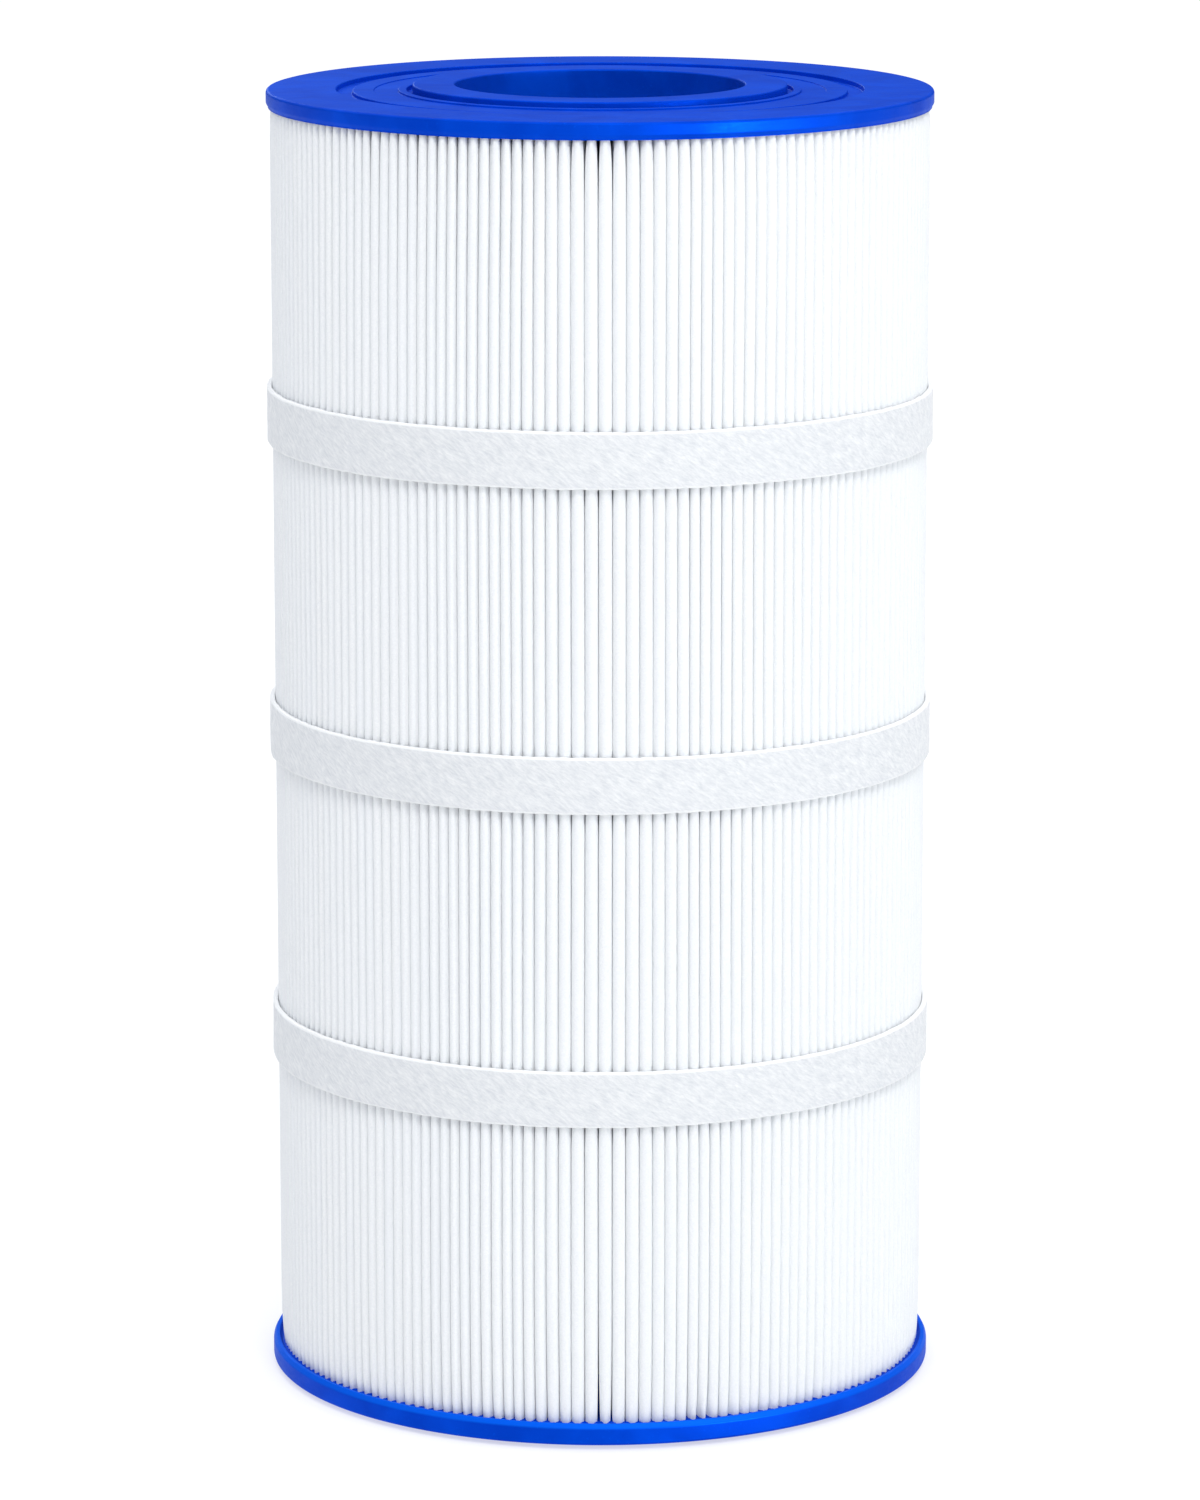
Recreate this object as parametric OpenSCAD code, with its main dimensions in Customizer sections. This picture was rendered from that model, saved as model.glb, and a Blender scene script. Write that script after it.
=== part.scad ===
// Pleated filter cartridge for a pool or spa filter tank.
// The origin is the centre of the bottom cap's collar, on the surface the cartridge stands on,
// and +Z runs up the axis.  Sizes are in millimetres and degrees.

/* [Overall] */
// Height over both collars
overall_h = 448; // [240:1:760]
// Diameter of the opening through each end cap
bore_d = 98.6; // [90:0.1:104]

/* [End caps] */
// Outer diameter of the top cap
top_cap_d = 227; // [227:0.5:232]
// Outer diameter of the bottom cap
bottom_cap_d = 230; // [227:0.5:232]
// Height of the top cap's outer wall
top_rim_h = 6; // [5:0.5:10]
// Height of the bottom cap's outer wall
bottom_rim_h = 7.5; // [5:0.5:10]
// Thickness of the cap under its outer ring
cap_floor_t = 4; // [3:0.5:5]
// How far the collar round the opening stands above the outer ring
collar_rise = 1.5; // [0.5:0.5:3]
// Outer diameter of the collar
collar_d = 127.4; // [120:0.2:130]
// Depth of the two moulded grooves below the outer ring
groove_depth = 2; // [1:0.5:2]
// Length of the sleeve that lines the end of the core, from the collar's face
sleeve_l = 14; // [8:1:30]
// Rounding of the cap's outer edges
cap_edge_r = 1.2; // [0.4:0.2:1.8]
// Rounding of the edges of the opening
bore_edge_r = 0.8; // [0.2:0.2:0.8]

/* [Pleats] */
// Diameter over the pleat tips
pack_d = 224.8; // [222:0.2:225]
// Number of pleats
pleats = 180; // [140:2:184]
// Thickness of the pleated sheet
sheet_t = 0.5; // [0.4:0.1:0.6]
// Width of one pleat across its tip
tip_w = 2.94; // [2:0.02:3]
// Radius of the inner folds, on the middle of the sheet
root_fold_r = 0.46; // [0.4:0.02:0.5]
// Radial length of the bead that joins the sheet's two free edges
seam_l = 10; // [5:1:20]

/* [Core] */
// Wall thickness of the core
core_wall = 3.4; // [2.4:0.1:3.6]
// Number of windows round the core
windows_round = 18; // [8:1:24]
// Width of the upright ribs between windows
rib_w = 5.5; // [3:0.5:8]
// Number of window rows in each of the two sections
window_rows = 16; // [6:1:22]
// Height of the hoops between window rows
hoop_h = 4.5; // [3:0.5:6]
// Length of the spigot that joins the two sections
spigot_l = 7; // [4:0.5:12]

/* [Bands] */
// Height of each band
band_h = 19; // [12:0.5:30]
// Thickness of a band
band_t = 1; // [0.6:0.1:1.2]
// Height of the glue ring under a band
glue_h = 9; // [4:0.5:12]
// Thickness of the glue ring between the pleat tips and the band
glue_t = 0.65; // [0.3:0.05:0.7]
// Length of the lap that closes a band, as an angle
lap_angle = 16; // [8:1:30]
// Centre of the lower band, as a share of the overall height
lower_band_at = 0.27; // [0.18:0.002:0.32]
// Centre of the middle band, as a share of the overall height
middle_band_at = 0.508; // [0.42:0.002:0.58]
// Centre of the upper band, as a share of the overall height
upper_band_at = 0.75; // [0.68:0.002:0.82]

/* [Hidden] */

$fn = 144;

// Small gap left between pieces that would otherwise share a curved face
gap = 0.05;

bore_r = bore_d / 2;
collar_r = collar_d / 2;
sleeve_t = 1.7;
core_inner_r = bore_r + sleeve_t + gap;
core_outer_r = core_inner_r + core_wall;
pack_r = pack_d / 2;

// Radii of the cap's moulded rings, from the collar out
moat_w = 2;
bead_w = 2.8;
low_land_w = 8.3;
high_land_w = 7.3;
groove_w = 5.5;
moat_r = collar_r + moat_w;
bead_r = moat_r + bead_w;
low_land_r = bead_r + low_land_w;
high_land_r = low_land_r + high_land_w;
groove_r = high_land_r + groove_w;

// Depths of the moulded rings below the outer ring
bead_drop = 0.3;
low_land_drop = 1;
high_land_drop = 0.6;

// Levels inside the cartridge
seat_z = collar_rise + cap_floor_t;
inner_h = overall_h - 2 * seat_z;

// The direction of the cartridge's back, where the sheet's seam and the bands' laps are
back_at = 90;

// The pleats' folds, on the middle of the sheet
pitch = 360 / pleats;
tip_fold_r = (tip_w - sheet_t) / 2;
tip_centre_r = pack_r - tip_w / 2;
root_centre_r = core_outer_r + gap + root_fold_r + sheet_t / 2;
outer_steps = 5;
inner_steps = 3;

band_inner_r = pack_r + glue_t + 2 * gap;
band_outer_r = band_inner_r + band_t;
lap_t = 0.85;

// A rectangle from (x0, y0) to (x1, y1) with all four corners rounded
module rounded_rect(x0, x1, y0, y1, r) {
    translate([x0, y0 + r]) square([x1 - x0, y1 - y0 - 2 * r]);
    translate([x0 + r, y0]) square([x1 - x0 - 2 * r, y1 - y0]);
    for (x = [x0 + r, x1 - r], y = [y0 + r, y1 - r])
        translate([x, y]) circle(r = r);
}

// A rectangle from (x0, y0) to (x1, y1)
module rect(x0, x1, y0, y1) {
    translate([x0, y0]) square([x1 - x0, y1 - y0]);
}

// A ring round the axis
module ring(inner_r, outer_r, z, h) {
    rotate_extrude() rect(inner_r, outer_r, z, z + h);
}

// Section of an end cap from its collar's face (y = 0) in towards the pleats
module cap_section(cap_d, rim_h) {
    difference() {
        union() {
            // Floor and collar, down to the face that the core and the pleats stand on
            rect(bore_r + bore_edge_r, pack_r + gap, collar_rise, seat_z);
            rounded_rect(bore_r, collar_r, 0, seat_z, bore_edge_r);
            rect(bore_r + bore_edge_r, collar_r, seat_z - 2 * bore_edge_r, seat_z);
            // Sleeve that lines the end of the core
            rounded_rect(bore_r, bore_r + sleeve_t, bore_edge_r, sleeve_l, bore_edge_r);
            // Rim round the pleats
            rounded_rim(pack_r + gap, cap_d / 2, collar_rise, collar_rise + rim_h);
        }
        rect(collar_r, moat_r, 0, collar_rise + groove_depth);
        rect(moat_r, bead_r, 0, collar_rise + bead_drop);
        rect(bead_r, low_land_r, 0, collar_rise + low_land_drop);
        rect(low_land_r, high_land_r, 0, collar_rise + high_land_drop);
        rect(high_land_r, groove_r, 0, collar_rise + groove_depth);
    }
}

// The cap's rim, square inside and rounded along both of its outer edges
module rounded_rim(x0, x1, y0, y1) {
    edge = min(cap_edge_r, x1 - x0 - gap);
    rect(x0 - gap, x1 - edge, y0, y1);
    rect(x0, x1, y0 + edge, y1 - edge);
    for (y = [y0 + edge, y1 - edge])
        translate([x1 - edge, y]) circle(r = edge);
}

module end_cap(cap_d, rim_h) {
    color("#1145d6") rotate_extrude() cap_section(cap_d, rim_h);
}

module bottom_end_cap() {
    end_cap(bottom_cap_d, bottom_rim_h);
}

module top_end_cap() {
    translate([0, 0, overall_h]) mirror([0, 0, 1]) end_cap(top_cap_d, top_rim_h);
}

// A point given along and across a spoke at angle a
function spoke(along, across, a) =
    [along * cos(a) - across * sin(a), along * sin(a) + across * cos(a)];

// A half-round tip of radius r at angle a, drawn with a number of points
function tip(r, a, steps) = [for (i = [0 : steps - 1])
    let(t = -90 + 180 * i / (steps - 1))
    spoke(tip_centre_r + r * cos(t), r * sin(t), a)];

// An inner fold of radius r at angle a, pressed flat against the core
function root(r, a) = [for (side = [-1, 1]) spoke(root_centre_r - r, side * r, a)];

// One face of the whole sheet, from the seam round to the seam again
function sheet_face(tip_r, root_r, steps) = concat(
    [spoke(root_centre_r, root_r, -pitch / 2)],
    [for (k = [0 : pleats - 1], p = concat(
        k > 0 ? root(root_r, (k - 0.5) * pitch) : [],
        tip(tip_r, k * pitch, steps))) p],
    [spoke(root_centre_r, -root_r, (pleats - 0.5) * pitch)]);

function reversed(list) = [for (i = [len(list) - 1 : -1 : 0]) list[i]];

// The sheet stands on both cap floors, and its folds run parallel to the axis
module pleated_media() {
    outer = sheet_face(tip_fold_r + sheet_t / 2, root_fold_r - sheet_t / 2, outer_steps);
    inner = sheet_face(tip_fold_r - sheet_t / 2, root_fold_r + sheet_t / 2, inner_steps);
    color("#f3f7fb") translate([0, 0, seat_z])
        rotate(back_at + pitch / 2) linear_extrude(inner_h)
            polygon(concat(outer, reversed(inner)));
}

// Half the gap between two neighbouring pleats at a distance up from the inner folds
function half_gap(up) =
    let(foot = root_fold_r - sheet_t / 2,
        top = tip_centre_r * sin(pitch / 2) - tip_w / 2 * cos(pitch / 2),
        run = tip_centre_r - root_centre_r)
    foot + (top - foot) * up / run;

// Fills the gap between the sheet's two free edges
module media_seam_bead() {
    foot = half_gap(0) - gap / 2;
    top = half_gap(seam_l) - gap / 2;
    color("#f0ead8") translate([0, 0, seat_z])
        rotate(back_at) linear_extrude(inner_h)
            polygon([[root_centre_r, -foot], [root_centre_r + seam_l, -top],
                     [root_centre_r + seam_l, top], [root_centre_r, foot]]);
}

section_l = inner_h / 2;
foot_h = spigot_l + hoop_h;
row_pitch = (section_l - foot_h) / window_rows;
mid_wall_r = core_inner_r + core_wall / 2;

// The ribs stop short of the hoops' outer face, and the hoops of the ribs' inner face
rib_inset = 0.6;
hoop_inset = 0.4;
rib_step = 360 / windows_round;
rib_angle = 2 * asin(rib_w / 2 / core_inner_r);
rib_outer_r = core_outer_r - rib_inset;
hoop_inner_r = core_inner_r + hoop_inset;

// One moulded core section, from its plain foot (z = 0) to the last hoop, at the joint
module core_section() {
    ring(hoop_inner_r, core_outer_r, 0, foot_h);
    for (row = [1 : window_rows])
        ring(hoop_inner_r, core_outer_r, foot_h + row * row_pitch - hoop_h, hoop_h);
    for (k = [0 : windows_round - 1])
        rotate((k + 0.5) * rib_step - rib_angle / 2) rotate_extrude(angle = rib_angle)
            rect(core_inner_r, rib_outer_r, foot_h - hoop_h / 2, section_l - hoop_h / 2);
}

// The lower section ends in a thin spigot, and the upper one has the socket for it.
// The socket is cut past the section's faces.
overcut = 1;

module lower_core_section() {
    color("#e9ebec") translate([0, 0, seat_z]) union() {
        core_section();
        ring(hoop_inner_r, mid_wall_r - gap, section_l - hoop_h, foot_h - gap);
    }
}

module upper_core_section() {
    color("#e2e5e7") translate([0, 0, overall_h - seat_z]) mirror([0, 0, 1]) difference() {
        union() {
            core_section();
            ring(hoop_inner_r, core_outer_r, section_l - foot_h, foot_h);
        }
        ring(hoop_inner_r - overcut, mid_wall_r, section_l - spigot_l, spigot_l + overcut);
    }
}

// A wedge of the plane that spans an angle each side of the back
module back_wedge(reach, angle) {
    polygon([[0, 0], for (side = [-0.5, 0, 0.5])
        2 * reach * [cos(back_at + side * angle), sin(back_at + side * angle)]]);
}

// A strip wrapped once round the pleat tips, with its end lapped over its start
module band(share) {
    color("#f6f8fb") translate([0, 0, share * overall_h - band_h / 2])
        linear_extrude(band_h) difference() {
            union() {
                circle(r = band_outer_r);
                intersection() {
                    circle(r = band_outer_r + lap_t);
                    back_wedge(band_outer_r, lap_angle);
                }
            }
            circle(r = band_inner_r);
        }
}

module band_glue(share) {
    color("#efe9d6")
        ring(pack_r + gap, band_inner_r - gap, share * overall_h - glue_h / 2, glue_h);
}

module upper_band() {
    band(upper_band_at);
}

module middle_band() {
    band(middle_band_at);
}

module lower_band() {
    band(lower_band_at);
}

module upper_band_glue() {
    band_glue(upper_band_at);
}

module middle_band_glue() {
    band_glue(middle_band_at);
}

module lower_band_glue() {
    band_glue(lower_band_at);
}

top_end_cap();
bottom_end_cap();
pleated_media();
media_seam_bead();
upper_core_section();
lower_core_section();
upper_band();
middle_band();
lower_band();
upper_band_glue();
middle_band_glue();
lower_band_glue();
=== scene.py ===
from math import cos, degrees, exp, hypot, pi, radians, sin, tau

import bmesh
import bpy
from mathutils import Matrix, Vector, noise


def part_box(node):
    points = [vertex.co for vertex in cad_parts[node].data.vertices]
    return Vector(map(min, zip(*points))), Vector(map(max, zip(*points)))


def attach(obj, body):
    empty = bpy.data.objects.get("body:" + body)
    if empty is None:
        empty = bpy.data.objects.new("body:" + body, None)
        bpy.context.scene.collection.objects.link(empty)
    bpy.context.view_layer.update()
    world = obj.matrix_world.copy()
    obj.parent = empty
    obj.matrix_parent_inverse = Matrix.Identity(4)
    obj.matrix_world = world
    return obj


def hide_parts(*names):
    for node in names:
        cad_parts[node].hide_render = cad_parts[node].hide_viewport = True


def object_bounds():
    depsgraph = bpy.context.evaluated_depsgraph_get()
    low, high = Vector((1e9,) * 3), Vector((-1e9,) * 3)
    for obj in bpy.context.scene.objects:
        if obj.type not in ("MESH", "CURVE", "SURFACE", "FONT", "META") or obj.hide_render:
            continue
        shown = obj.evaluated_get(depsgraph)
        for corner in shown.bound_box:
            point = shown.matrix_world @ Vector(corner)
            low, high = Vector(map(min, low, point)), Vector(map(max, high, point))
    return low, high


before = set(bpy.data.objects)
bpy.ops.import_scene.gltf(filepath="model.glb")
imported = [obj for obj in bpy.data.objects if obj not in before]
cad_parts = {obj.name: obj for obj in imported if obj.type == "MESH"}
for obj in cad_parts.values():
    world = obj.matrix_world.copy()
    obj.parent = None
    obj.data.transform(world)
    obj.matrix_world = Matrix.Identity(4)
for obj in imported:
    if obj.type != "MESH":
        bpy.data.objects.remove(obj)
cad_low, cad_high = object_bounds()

MM = 0.001
HEIGHT = cad_high.z
FRONT = -pi / 2  # the angle that faces the camera
BACK = pi / 2  # the angle of the cloth's seam and the bands' laps


# ---------------------------------------------------------------- finishes

class Tap:
    """One output of a finish's nodes, which can be added and multiplied."""

    def __init__(self, finish, socket):
        self.finish = finish
        self.socket = socket

    def maths(self, operation, other):
        kind = "ShaderNodeVectorMath" if isinstance(other, tuple) else "ShaderNodeMath"
        return self.finish.node(kind, {"operation": operation}, {0: self, 1: other})

    def __add__(self, other):
        return self.maths("ADD", other)

    def __mul__(self, other):
        return self.maths("MULTIPLY", other)


class Finish:
    """A material built round one Principled shader."""

    def __init__(self, name, fixed):
        self.material = bpy.data.materials.new(name)
        self.material.use_nodes = True
        self.tree = self.material.node_tree
        self.shader = self.tree.nodes["Principled BSDF"]
        for socket, value in fixed.items():
            self.shader.inputs[socket].default_value = value

    def node(self, kind, settings=None, feeds=None, out=0):
        """Adds a node, sets it up, feeds its sockets and returns one output."""
        node = self.tree.nodes.new(kind)
        for key, value in (settings or {}).items():
            setattr(node, key, value)
        for key, value in (feeds or {}).items():
            self.feed(node.inputs[key], value)
        return Tap(self, node.outputs[out])

    def feed(self, socket, value):
        """Links a Tap to the socket, or sets a constant on it."""
        if isinstance(value, Tap):
            self.tree.links.new(value.socket, socket)
        else:
            socket.default_value = value

    def shade(self, feeds):
        """Feeds the Principled shader's inputs."""
        for key, value in feeds.items():
            self.feed(self.shader.inputs[key], value)

    def place(self, uv=False):
        """Object coordinates, or the piece's own UV map."""
        return self.node("ShaderNodeTexCoord", out="UV" if uv else "Object")

    def turned(self, at, scale=(1, 1, 1), angle=0):
        """Coordinates turned by angle, then made finer along each axis by scale."""
        return self.node("ShaderNodeMapping", {"vector_type": "TEXTURE"}, {
            "Vector": at, "Rotation": (0, 0, angle), "Scale": [1 / s for s in scale]})

    def grain(self, at, scale, detail=3, rough=0.5, distortion=0):
        """Noise from about 0.3 to 0.7."""
        return self.node("ShaderNodeTexNoise", {}, {
            "Vector": at, "Scale": scale, "Detail": detail,
            "Roughness": rough, "Distortion": distortion})

    def mix(self, share, a, b):
        """Colour a where share is 0, and b where it is 1."""
        return self.node(
            "ShaderNodeMix", {"data_type": "RGBA"}, {0: share, 6: a, 7: b}, out=2)

    def band_of(self, value, low, high, to_low=0.0, to_high=1.0):
        """value's stretch from low to high, as a stretch from to_low to to_high."""
        return self.node("ShaderNodeMapRange", {"clamp": True}, {
            0: value, 1: low, 2: high, 3: to_low, 4: to_high})

    def bump(self, height, distance, strength=1.0, under=None):
        """A normal raised by height times distance in metres, over another one."""
        feeds = {"Height": height, "Distance": distance, "Strength": strength}
        if under is not None:
            feeds["Normal"] = under
        return self.node("ShaderNodeBump", {}, feeds)


def rgb(red, green, blue):
    """An opaque colour, in linear values."""
    return (red, green, blue, 1)


def cast_urethane():
    """Satin cast polyurethane, with faint flow marks and the grain of its mould.

    Urethane is no metal: the quarter of metallic shine is only there to keep the
    highlights blue. The bottom rim's ledge carries a painted highlight: a lighter blue
    painted by its height and radius."""
    made = Finish("cast_urethane", {
        "IOR": 1.46, "Specular IOR Level": 0.07,
        "Specular Tint": rgb(0.12, 0.62, 1.0), "Metallic": 0.25})
    at = made.place()
    clouds = made.grain(at, 38, 3, 0.55, 0.6)
    specks = made.grain(at, 900, 2, 0.6)
    flow = made.grain(made.turned(at, (1, 1, 5)), 120, 4, 0.6, 1.2)
    tint = made.mix(
        made.band_of(clouds, 0.35, 0.68),
        rgb(0.0003, 0.046, 0.53), rgb(0.0005, 0.064, 0.65))
    tint = made.mix(
        made.band_of(specks, 0.62, 0.8, 0, 0.35), tint, rgb(0.001, 0.10, 0.80))
    height = made.node("ShaderNodeSeparateXYZ", {}, {0: at}, out=2)
    radius = made.node("ShaderNodeVectorMath", {"operation": "LENGTH"}, {
        0: at * (1, 1, 0)}, out=1)
    # The ledge, which gets a painted highlight, is what lies between these heights and
    # outside this radius.
    over = made.band_of(height, 7.0 * MM, 7.8 * MM)
    under = made.band_of(height, 9.8 * MM, 10.6 * MM, 1, 0)
    outside = made.band_of(radius, 112.6 * MM, 113.0 * MM, 0, 0.85)
    # A lighter blue painted on the ledge by position: a painted highlight, not a colour of
    # the urethane.
    tint = made.mix(over * under * outside, tint, rgb(0.002, 0.115, 0.82))
    rough = made.band_of(flow, 0.3, 0.7, 0.42, 0.52)
    rough = rough + made.band_of(specks, 0.3, 0.7, -0.03, 0.03)
    skin = made.bump(made.grain(at, 1500, 2, 0.5), 0.03 * MM)
    made.shade({
        "Base Color": tint, "Roughness": rough,
        "Normal": made.bump(clouds, 0.4 * MM, 0.6, skin)})
    return made.material


def pleat_cloth():
    """Spunbonded polyester: fine crossing fibres and a faint pattern of dimples."""
    made = Finish("pleat_cloth", {
        "Specular IOR Level": 0.25, "Sheen Weight": 0.12, "Sheen Roughness": 0.6})
    at = made.place(uv=True)
    fibres = made.grain(made.turned(at, (1, 3.2, 1), 0.5), 900, 4, 0.65, 0.5)
    crossed = made.grain(made.turned(at, (3.2, 1, 1), 0.4), 800, 4, 0.65, 0.5)
    cells = made.node("ShaderNodeTexVoronoi", {"feature": "F1"}, {
        "Vector": at, "Scale": 620, "Randomness": 0.35})
    dimples = made.band_of(cells, 0.12, 0.42)
    streaks = made.grain(made.turned(at, (1, 0.04, 1)), 160, 2, 0.5)
    weave = fibres * 0.5 + crossed * 0.5
    tint = made.mix(
        made.band_of(weave, 0.36, 0.62),
        rgb(0.84, 0.852, 0.872), rgb(0.925, 0.93, 0.932))
    tint = made.mix(
        made.band_of(streaks, 0.35, 0.7, 0, 0.3), tint, rgb(0.86, 0.885, 0.92))
    made.shade({
        "Base Color": tint,
        "Roughness": made.band_of(weave, 0.3, 0.7, 0.72, 0.9),
        "Normal": made.bump(weave + dimples * 0.35, 0.12 * MM, 0.55)})
    return made.material


def felt():
    """Needled felt strip: matted fibres, mottled, with a painted highlight along its top
    edge and a fainter one along its bottom edge.
    """
    made = Finish("band_felt", {
        "Specular IOR Level": 0.2, "Sheen Weight": 0.25, "Sheen Roughness": 0.5})
    at = made.place(uv=True)
    one = made.grain(made.turned(at, (1, 5, 1), -0.7), 190, 5, 0.65, 0.5)
    two = made.grain(made.turned(at, (1, 5, 1), -0.35), 260, 5, 0.65, 0.5)
    tufts = made.grain(at, 260, 4, 0.7, 0.8)
    mat = one * 0.42 + two * 0.36 + tufts * 0.22
    tint = made.mix(
        made.band_of(mat, 0.34, 0.63),
        rgb(0.645, 0.665, 0.70), rgb(0.89, 0.895, 0.90))
    across = made.node("ShaderNodeSeparateXYZ", {}, {0: at}, out=1)
    # Painted highlight: lighter along the top edge, and half as much along the bottom
    # edge, where light catches the band's edges.
    upper_edge_highlight = made.band_of(across, 18.0 * MM, 18.5 * MM)
    lower_edge_highlight = made.band_of(across, 0.4 * MM, 0.8 * MM, 0.5, 0)
    tint = made.mix(upper_edge_highlight + lower_edge_highlight, tint, rgb(0.96, 0.965, 0.97))
    made.shade({
        "Base Color": tint,
        "Roughness": made.band_of(mat, 0.35, 0.65, 0.8, 0.95),
        "Normal": made.bump(mat, 0.7 * MM, 0.5)})
    return made.material


def core_plastic():
    """White moulded polypropylene, a little waxy, with faint flow lines."""
    made = Finish("core_plastic", {"IOR": 1.49, "Specular IOR Level": 0.45})
    at = made.place()
    flow = made.grain(made.turned(at, (1, 1, 0.12)), 90, 3, 0.5, 0.8)
    specks = made.grain(at, 700, 2, 0.6)
    made.shade({
        "Base Color": made.mix(
            made.band_of(flow, 0.3, 0.7), rgb(0.78, 0.80, 0.80), rgb(0.88, 0.89, 0.88)),
        "Roughness": made.band_of(specks, 0.3, 0.7, 0.36, 0.5),
        "Normal": made.bump(specks, 0.05 * MM, 0.5)})
    return made.material


def hot_melt():
    """Clear amber-white hot-melt glue, glossy and a little lumpy."""
    made = Finish("hot_melt", {"IOR": 1.48, "Specular IOR Level": 0.5})
    at = made.place()
    lumps = made.grain(at, 240, 3, 0.55, 0.4)
    made.shade({
        "Base Color": made.mix(
            made.band_of(lumps, 0.3, 0.7), rgb(0.74, 0.71, 0.60), rgb(0.86, 0.85, 0.78)),
        "Roughness": made.band_of(lumps, 0.3, 0.7, 0.18, 0.34),
        "Normal": made.bump(lumps, 0.4 * MM, 0.6)})
    return made.material


URETHANE = cast_urethane()
CLOTH = pleat_cloth()
FELT = felt()
PLASTIC = core_plastic()
GLUE = hot_melt()


# ---------------------------------------------------------------- pieces

def finished(name, bm, finish, replaced):
    """Makes the piece, rides it on the cartridge and hides the node it stands for."""
    mesh = bpy.data.meshes.new(name)
    bm.to_mesh(mesh)
    bm.free()
    mesh.materials.append(finish)
    mesh.shade_smooth()
    piece = bpy.data.objects.new(name, mesh)
    bpy.context.scene.collection.objects.link(piece)
    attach(piece, "root")
    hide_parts(replaced)
    return piece


def ease(x):
    """0 below 0, 1 above 1, and smooth between."""
    x = min(1.0, max(0.0, x))
    return x * x * (3 - 2 * x)


def fade(distance, over):
    """1 at no distance, and 0.37 of that for every over millimetres further on."""
    return exp(-distance / (over * MM))


def drift(x, y, z):
    """Smooth noise from about -1 to 1, the same on each run."""
    return noise.noise(Vector((x, y, z)))


def away(a, b):
    """How far angle a is from angle b, in degrees, with its sign."""
    return (degrees(a - b) + 180) % 360 - 180


# The pleats stand between the two caps' floors, round the core.
pack_low, pack_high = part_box("pleated_media")
PACK_R = pack_high.x
FOOT = pack_low.z
TOP = pack_high.z
CORE_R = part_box("lower_core_section")[1].x
SHEET = 0.5 * MM  # the cloth's thickness
PLEATS = 180
STEPS = 10  # points across a pleat: root, wall, six round the tip, wall, root
ROOT_R = CORE_R + 0.30 * MM  # where the inner folds stand
ROOT_HALF = 0.46 * MM  # half the width of an inner fold
NARROWEST = 0.15 * MM  # the least half width of a tip
BANDS = ("upper_band", "middle_band", "lower_band")
BAND_BOXES = {name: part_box(name) for name in BANDS}

# Degrees from the front, width in millimetres and height of the open folds at the foot.
OPEN_FOLDS = ((0.8, 0.9, 18), (17.4, 2.4, 8), (-24, 0.7, 14))


def pleat_edges():
    """The angles between pleats, from the seam round to the seam again.

    Those at the front are a sixth wider than the rest."""
    widths = []
    for k in range(PLEATS):
        middle = BACK + (k + 0.5) * tau / PLEATS
        off = away(middle, FRONT)
        wide = 1 + 0.17 * exp(-((off - 1) / 9) ** 4)
        widths.append(wide + 0.10 * drift(k * 0.83, 4.7, 0))
    whole = sum(widths)
    edges = [BACK]
    for wide in widths:
        edges.append(edges[-1] + tau * wide / whole)
    return edges


EDGES = pleat_edges()


def opening(angle, up, down):
    """The gap beside a pleat's tip, and what the caps and bands add to it.

    up is the height above the sheet's foot and down the depth below its top."""
    off = away(angle, FRONT)
    front = exp(-((off - 1) / 10) ** 4)
    base = 0.50 + 0.20 * front - 0.32 * ease((off - 9) / 5) * ease((100 - off) / 20)
    base += 0.14 * drift(degrees(angle) * 0.55, up * 9, 2.2)
    wild = 0.35 * drift(degrees(angle) * 0.9, 6.6, 1.3)
    pinch = (0.60 + 0.85 * front + wild) * fade(down, 8.5)
    pinch += 0.70 * fade(down, 3.5)
    for gap_at, wide, tall in OPEN_FOLDS:
        pinch += wide * exp(-((off - gap_at) / 1.3) ** 2) * fade(up, tall)
    pinch += (0.40 + wild) * fade(up, 16) + 0.25 * fade(up, 3)
    for low, _ in BAND_BOXES.values():
        pinch += 0.60 * fade(abs(low.z - FOOT - up), 5)
    return max(0.06, base) * MM, pinch * MM


def squeeze(z):
    """1 under the middle of a band, and 0 away from the bands."""
    return max(
        ease(1 - abs(z - (low.z + high.z) / 2) / (16 * MM))
        for low, high in BAND_BOXES.values())


def leaning(k, middle, z, pressed):
    """How far pleat k leans to one side at height z, in millimetres."""
    up, down = z - FOOT, TOP - z
    lean = 0.55 * drift(degrees(middle) * 0.035, z * 7, 5.1)
    lean += 0.10 * drift(k * 0.61, z * 9, 9.4)
    lean *= min(1.0, min(up, down) / (30 * MM)) * (1 - 0.6 * pressed)
    round_from_front = degrees(middle - FRONT) % 360
    lean += 0.9 * ease((round_from_front - 290) / 25) * ease(
        (356 - round_from_front) / 12) * ease((90 * MM - down) / (90 * MM))
    lean += 0.65 * drift(k * 0.77, 3.3, 1.7) * fade(up, 24)
    lean += 0.30 * drift(k * 0.77, 8.1, 4.2) * fade(down, 12)
    return lean


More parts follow.
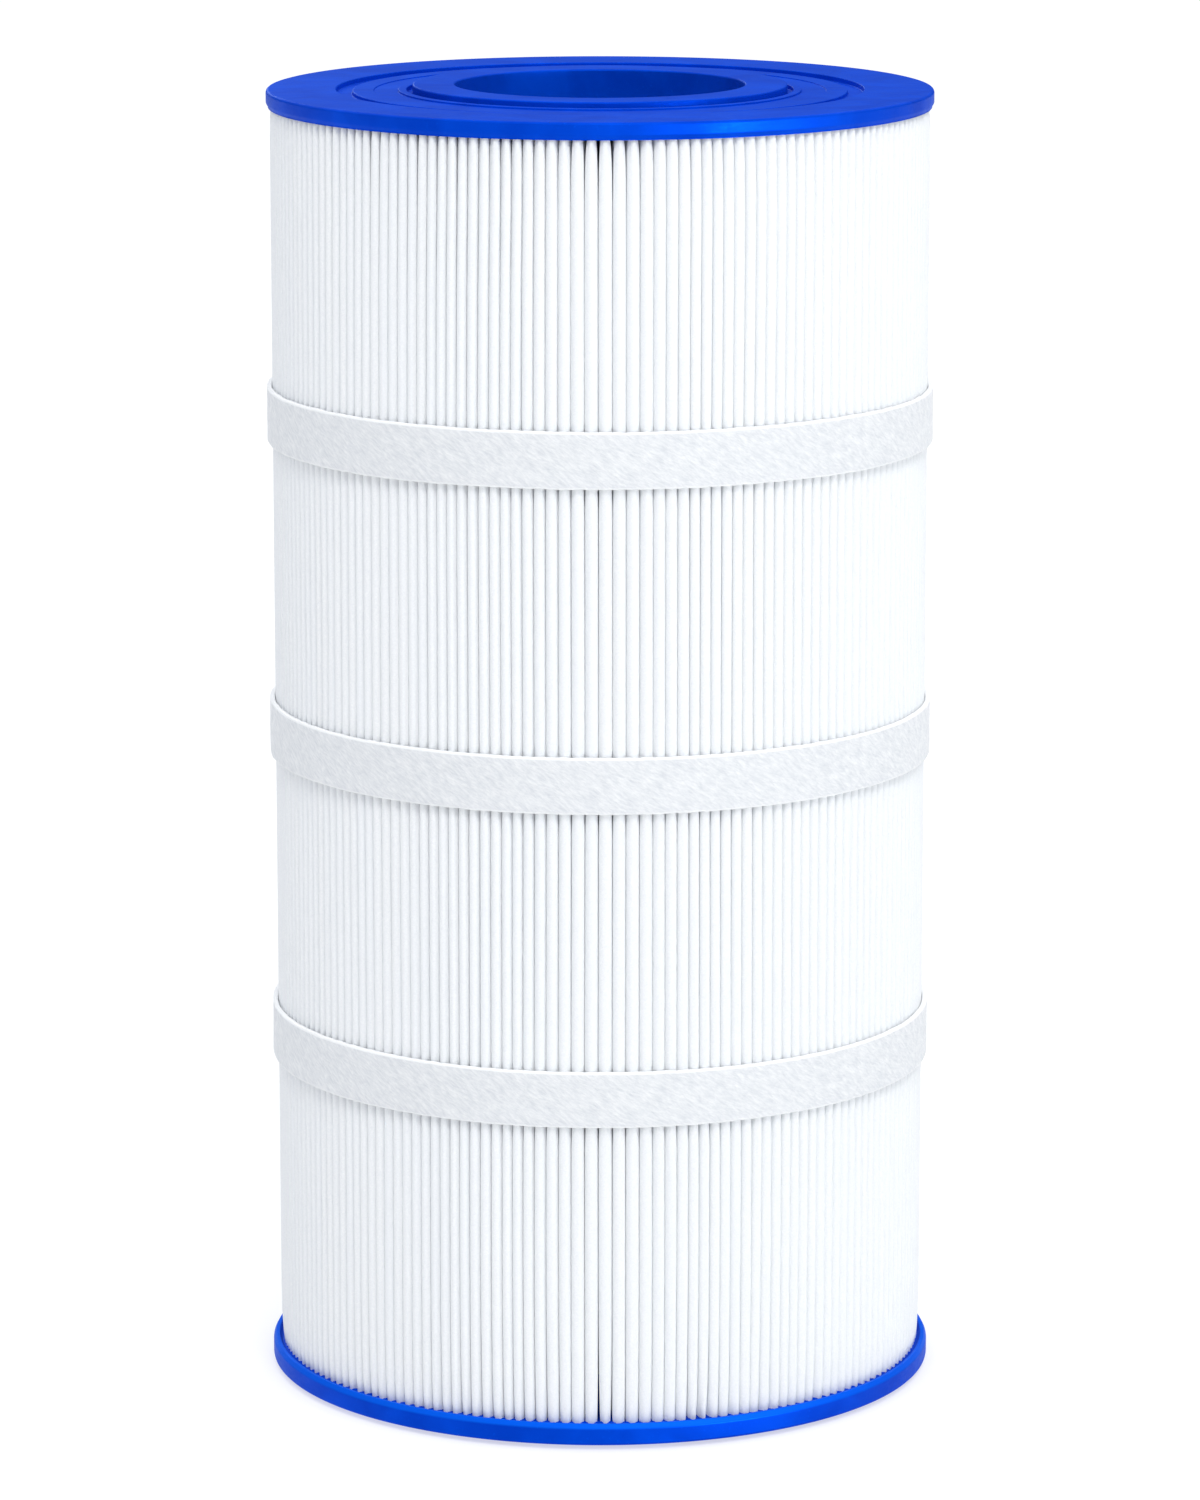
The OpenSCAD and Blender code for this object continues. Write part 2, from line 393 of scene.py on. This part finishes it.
def pleat_point(k, step, z):
    """One point of the sheet: pleat k, step 0 to 9 over its two walls and its tip."""
    first, last = EDGES[k], EDGES[k + 1]
    middle = (first + last) / 2
    up, down = z - FOOT, TOP - z
    if step in (0, STEPS - 1):
        edge, side = (first, 1) if step == 0 else (last, -1)
        return Vector((ROOT_R * cos(edge), ROOT_R * sin(edge), z)) + Vector(
            (-sin(edge), cos(edge), 0)) * side * ROOT_HALF
    slack = drift(k * 0.37, 11.3, z * 3)
    pressed = squeeze(z)
    reach = PACK_R - (0.12 + 0.22 * abs(slack)) * MM * (1 - 0.5 * pressed)
    reach -= (0.5 * fade(down, 3) + 1.1 * fade(up, 7)) * MM
    gap, pinch = opening(middle, up, down)
    turn = middle + leaning(k, middle, z, pressed) * MM / reach
    nose = 1.10 * MM + 0.4 * pinch
    if step in (1, STEPS - 2):
        along = reach - (1.75 + 0.5 * drift(k * 0.71, 1.9, 0)) * MM
        clear = 0.04 * MM + 0.9 * pinch
        across = (-1 if step == 1 else 1) * (
            (last - first) * along / 2 - SHEET / 2 - clear / 2)
        turn = middle + 0.5 * (turn - middle)
    else:
        bend = -pi / 2 + pi * (step - 2) / (STEPS - 5)
        along = reach - nose + nose * cos(bend) - SHEET / 2
        half = (last - first) * (reach - nose) / 2 - SHEET / 2 - (gap + pinch) / 2
        across = max(half, NARROWEST) * sin(bend)
    return Vector((cos(turn), sin(turn), 0)) * along + Vector(
        (-sin(turn), cos(turn), 0)) * across + Vector((0, 0, z))


def pleat_heights():
    """Heights of the sheet's rows, close together where the pleats change shape."""
    rows = [FOOT + d * MM for d in (0, 2.2, 4.2, 7, 12, 20, 34, 60)]
    rows += [TOP - d * MM for d in (0, 1.2, 2.2, 3.2, 4.6, 7, 12, 24, 52)]
    for low, high in BAND_BOXES.values():
        rows += [low.z - 8 * MM, low.z + 1 * MM, high.z + 3 * MM]
    return sorted(rows)


def filter_pleats():
    """One sheet, folded up and down round the core, with its free edges at the back."""
    rows = pleat_heights()
    columns = PLEATS * STEPS
    bm = bmesh.new()
    bmesh.ops.create_grid(
        bm, x_segments=columns - 1, y_segments=len(rows) - 1, size=0.5)
    flat = bm.loops.layers.uv.new("cloth")
    run, before = [], None
    for c in range(columns):
        here = pleat_point(c // STEPS, c % STEPS, (FOOT + TOP) / 2)
        run.append(run[-1] + (here - before).length if run else 0.0)
        before = here
    spots = {}
    for vert in bm.verts:
        c = round((vert.co.x + 0.5) * (columns - 1))
        r = round((vert.co.y + 0.5) * (len(rows) - 1))
        spots[vert] = (run[c], rows[r])
        vert.co = pleat_point(c // STEPS, c % STEPS, rows[r])
    for face in bm.faces:
        for loop in face.loops:
            loop[flat].uv = spots[loop.vert]
    piece = finished("filter_pleats", bm, CLOTH, "pleated_media")
    wall = piece.modifiers.new("sheet", "SOLIDIFY")
    wall.thickness = SHEET
    wall.offset = 0
    return piece


def pleat_band(name, node):
    """Felt strip wrapped round the pleat tips, lapped and glued at the back.

    It is 1 mm thick in the middle, and reaches in to the pleats at its two edges."""
    low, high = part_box(node)
    outer_r = high.x
    deep = outer_r - PACK_R - 0.05 * MM
    thin = 1.0 * MM / deep
    lap = radians(16)
    around, rows = 400, 8
    bm = bmesh.new()
    bmesh.ops.create_grid(bm, x_segments=around, y_segments=rows, size=0.5)
    flat = bm.loops.layers.uv.new("cloth")
    seed = low.z * 100
    spots, weights = {}, []
    for vert in bm.verts:
        share, tall = vert.co.x + 0.5, vert.co.y + 0.5
        angle = BACK + lap / 2 + share * (tau + lap)
        over = ease((share * (tau + lap) - tau + radians(5)) / radians(4))
        ripple = 0.14 * drift(share * 60, tall * 2, seed)
        ripple += 0.10 * drift(share * 170, tall * 3, seed + 7)
        radius = outer_r + (ripple - 0.1) * MM + over * thin * deep
        rim = ease(abs(tall - 0.5) * 10 - 4)
        edge = 0.22 * drift(share * 210, (tall > 0.5) * 5, seed + 3)
        edge += 0.18 * drift(share * 14, (tall > 0.5) * 5, seed + 5)
        z = low.z + tall * (high.z - low.z) + edge * rim * MM
        spots[vert] = (share * (tau + lap) * outer_r, tall * (high.z - low.z))
        pressed = ease((abs(tall - 0.5) - 0.25) / 0.12) * (1 - over)
        weights.append(thin + (1 - thin) * pressed)
        vert.co = (radius * cos(angle), radius * sin(angle), z)
    for face in bm.faces:
        for loop in face.loops:
            loop[flat].uv = spots[loop.vert]
    piece = finished(name, bm, FELT, node)
    group = piece.vertex_groups.new(name="thickness")
    for index, weight in enumerate(weights):
        group.add([index], weight, "REPLACE")
    wall = piece.modifiers.new("felt", "SOLIDIFY")
    wall.thickness = deep
    wall.offset = -1
    wall.vertex_group = group.name
    worn = piece.modifiers.new("worn_edge", "BEVEL")
    worn.width = 0.6 * MM
    worn.segments = 3
    worn.limit_method = "ANGLE"
    worn.angle_limit = radians(50)
    return piece


BORE_R = 49.3  # an end cap's opening, in millimetres
CAP_STEPS = 720  # faces round a cap
POTTED = (57, 111.5)  # the radii between which urethane wicks up the pleats


def cap_corners(outer_r, rim_top, level):
    """The corners of an end cap's section, anticlockwise from the opening.

    Each is a radius, a height in from the collar's face and a rounding, in millimetres."""
    potting = [(r, level, 0) for r in (58, 70, 84, 94, 101, 105, 107.5, 109.5, 111)]
    potting.append((112.2, level - 1.0, 0))
    return [
        (BORE_R, 0, 0.8), (63.7, 0, 0.7), (63.7, 3.5, 0.35), (65.7, 3.5, 0.35),
        (65.7, 1.8, 0.35), (68.5, 1.8, 0.3), (68.5, 2.5, 0.2), (72.5, 2.5, 0),
        (76.8, 2.5, 0.15), (76.8, 2.1, 0.2), (84.1, 2.1, 0.45), (84.1, 3.5, 0.5),
        (89.6, 3.5, 0.5), (89.6, 1.5, 0.5), (outer_r, 1.5, 1.1),
        (outer_r, rim_top - 1.7, 0.3), (outer_r - 0.9, rim_top, 0.2),
        (112.9, rim_top - 0.1, 0.2), *reversed(potting),
        (54.6, level, 0.3), (54.6, 5.6, 0), (51.05, 5.6, 0), (51.05, 14, 0.4),
        (BORE_R, 14, 0.6),
    ]


def end_cap(name, node, outer_r, rim_top, face, up):
    """Cast ring, turned from its section; the urethane wicks up between the pleats."""
    level = rim_top - 0.75
    corners = cap_corners(outer_r, rim_top, level)
    bm = bmesh.new()
    spots = [bm.verts.new((r, 0, h)) for r, h, _ in corners]
    bm.faces.new(spots)
    for rounding in sorted({c[2] for c in corners} - {0}):
        picked = [v for v, c in zip(spots, corners) if c[2] == rounding]
        bmesh.ops.bevel(
            bm, geom=picked, offset=rounding, offset_type="OFFSET", affect="VERTICES",
            segments=3, profile=0.5, material=-1)
    bmesh.ops.delete(bm, geom=bm.faces[:], context="FACES_ONLY")
    bmesh.ops.spin(
        bm, geom=bm.verts[:] + bm.edges[:], axis=(0, 0, 1), cent=(0, 0, 0),
        dvec=(0, 0, 0), angle=tau, steps=CAP_STEPS, use_merge=True)
    bmesh.ops.remove_doubles(bm, verts=bm.verts[:], dist=1e-5)
    for vert in bm.verts:
        r = hypot(vert.co.x, vert.co.y)
        if POTTED[0] < r < POTTED[1] and vert.co.z > level - 0.01:
            wick = drift(vert.co.x * 0.35, vert.co.y * 0.35, outer_r)
            slow = drift(vert.co.x * 0.05, vert.co.y * 0.05, outer_r)
            vert.co.z += 0.30 * wick + 0.25 * slow + 0.15
    bmesh.ops.scale(bm, vec=(MM, MM, MM * up), verts=bm.verts[:])
    bmesh.ops.translate(bm, vec=(0, 0, face), verts=bm.verts[:])
    bmesh.ops.recalc_face_normals(bm, faces=bm.faces[:])
    piece = finished(name, bm, URETHANE, node)
    even = piece.modifiers.new("even", "WEIGHTED_NORMAL")
    even.mode = "FACE_AREA"
    even.weight = 60
    return piece


BOTTOM_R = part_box("bottom_end_cap")[1].x / MM
TOP_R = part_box("top_end_cap")[1].x / MM
end_cap("bottom_cap", "bottom_end_cap", BOTTOM_R, 9.0, 0, 1)
end_cap("top_cap", "top_end_cap", TOP_R, 7.5, HEIGHT, -1)
filter_pleats()
for tier in BANDS:
    pleat_band(tier.replace("_band", "_felt_band"), tier)

for name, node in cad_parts.items():
    if "core_section" in name:
        node.data.materials.clear()
        node.data.materials.append(PLASTIC)
    elif "glue" in name or "bead" in name:
        node.data.materials.clear()
        node.data.materials.append(GLUE)


# ---------------------------------------------------------------- studio

def floor():
    """A plain pale floor that runs out past the edge of the view.

    It glows a little, so that it shows white with only a faint shadow."""
    bm = bmesh.new()
    bmesh.ops.create_grid(bm, x_segments=8, y_segments=8, size=30)
    mesh = bpy.data.meshes.new("studio_floor")
    bm.to_mesh(mesh)
    bm.free()
    made = Finish("studio_floor", {"Roughness": 0.9, "Specular IOR Level": 0.0})
    made.shade({"Base Color": rgb(0.42, 0.42, 0.42), "Emission Color": rgb(1, 1, 1),
                "Emission Strength": 0.60})
    mesh.materials.append(made.material)
    piece = bpy.data.objects.new("studio_floor", mesh)
    bpy.context.scene.collection.objects.link(piece)


def softbox(name, azimuth, elevation, distance, size, watts, tint=(1, 1, 1)):
    """A soft lamp aimed at the middle of the object.

    azimuth and elevation are in degrees, from the camera's side to the right and up;
    distance and size are in metres."""
    light = bpy.data.lights.new(name, "AREA")
    light.shape = "RECTANGLE"
    light.size, light.size_y = size
    light.energy = watts
    light.color = tint
    lamp = bpy.data.objects.new(name, light)
    a, e = FRONT + radians(azimuth), radians(elevation)
    aim = Vector((0, 0, HEIGHT / 2))
    away_from = Vector((cos(a) * cos(e), sin(a) * cos(e), sin(e)))
    lamp.location = aim + away_from * distance
    lamp.rotation_euler = away_from.to_track_quat("Z", "Y").to_euler()
    bpy.context.scene.collection.objects.link(lamp)
    return lamp


# How the sky's strength climbs: from and to which height of view, and the strengths there.
SKY_RISE = (0.12, 0.85, 0.14, 1.45)
# The sky's colour at a low and a middling height of view.
SKY_COLOURS = ((0.15, rgb(0.38, 0.66, 1.0)), (0.6, rgb(0.98, 0.985, 1.0)))


def studio():
    """A sky that is dim and bluish low down and white above, the floor and four lamps."""
    world = bpy.data.worlds.new("studio")
    world.use_nodes = True
    tree = world.node_tree
    sky = tree.nodes["Background"]
    colour = tree.nodes.new("ShaderNodeValToRGB")
    for stop, (at, tint) in zip(colour.color_ramp.elements, SKY_COLOURS):
        stop.position = at
        stop.color = tint
    side = tree.nodes.new("ShaderNodeSeparateXYZ")
    rise = tree.nodes.new("ShaderNodeMapRange")
    rise.interpolation_type = "SMOOTHSTEP"
    for socket, value in zip(rise.inputs[1:5], SKY_RISE):
        socket.default_value = value
    view = tree.nodes.new("ShaderNodeTexCoord")
    tree.links.new(view.outputs["Generated"], side.inputs[0])
    tree.links.new(side.outputs["Z"], rise.inputs[0])
    tree.links.new(side.outputs["Z"], colour.inputs[0])
    tree.links.new(colour.outputs[0], sky.inputs["Color"])
    tree.links.new(rise.outputs[0], sky.inputs["Strength"])
    bpy.context.scene.world = world
    floor()
    softbox("key", 54, 8, 2.6, (0.4, 0.6), 7.0, (1.0, 0.985, 0.96))
    softbox("front", 12, 44, 3.0, (1.1, 0.8), 23, (1.0, 0.985, 0.955))
    strip = softbox("gleam", 45, 2, 2.6, (0.25, 0.4), 95, (0.35, 0.8, 1.0))
    strip.visible_diffuse = False  # it adds only the gleam on the caps' walls
    softbox("rim", 194, 14, 3.0, (0.5, 0.7), 4, (0.9, 0.95, 1.0))


EYE_AWAY = 4.911  # in heights of the object
EYE_UP = 1.484
EYE_TILT = 11.51  # degrees down
SENSOR = 36
LENS = 155.4


def camera():
    """The eye is well away from the front and a little above, with a long lens."""
    data = bpy.data.cameras.new("camera")
    data.sensor_width = SENSOR
    data.lens = LENS
    eye = bpy.data.objects.new("camera", data)
    eye.location = (0, -EYE_AWAY * HEIGHT, EYE_UP * HEIGHT)
    eye.rotation_euler = (pi / 2 - radians(EYE_TILT), 0, 0)
    bpy.context.scene.collection.objects.link(eye)
    bpy.context.scene.camera = eye


studio()
camera()
bpy.context.scene.view_settings.view_transform = "Standard"
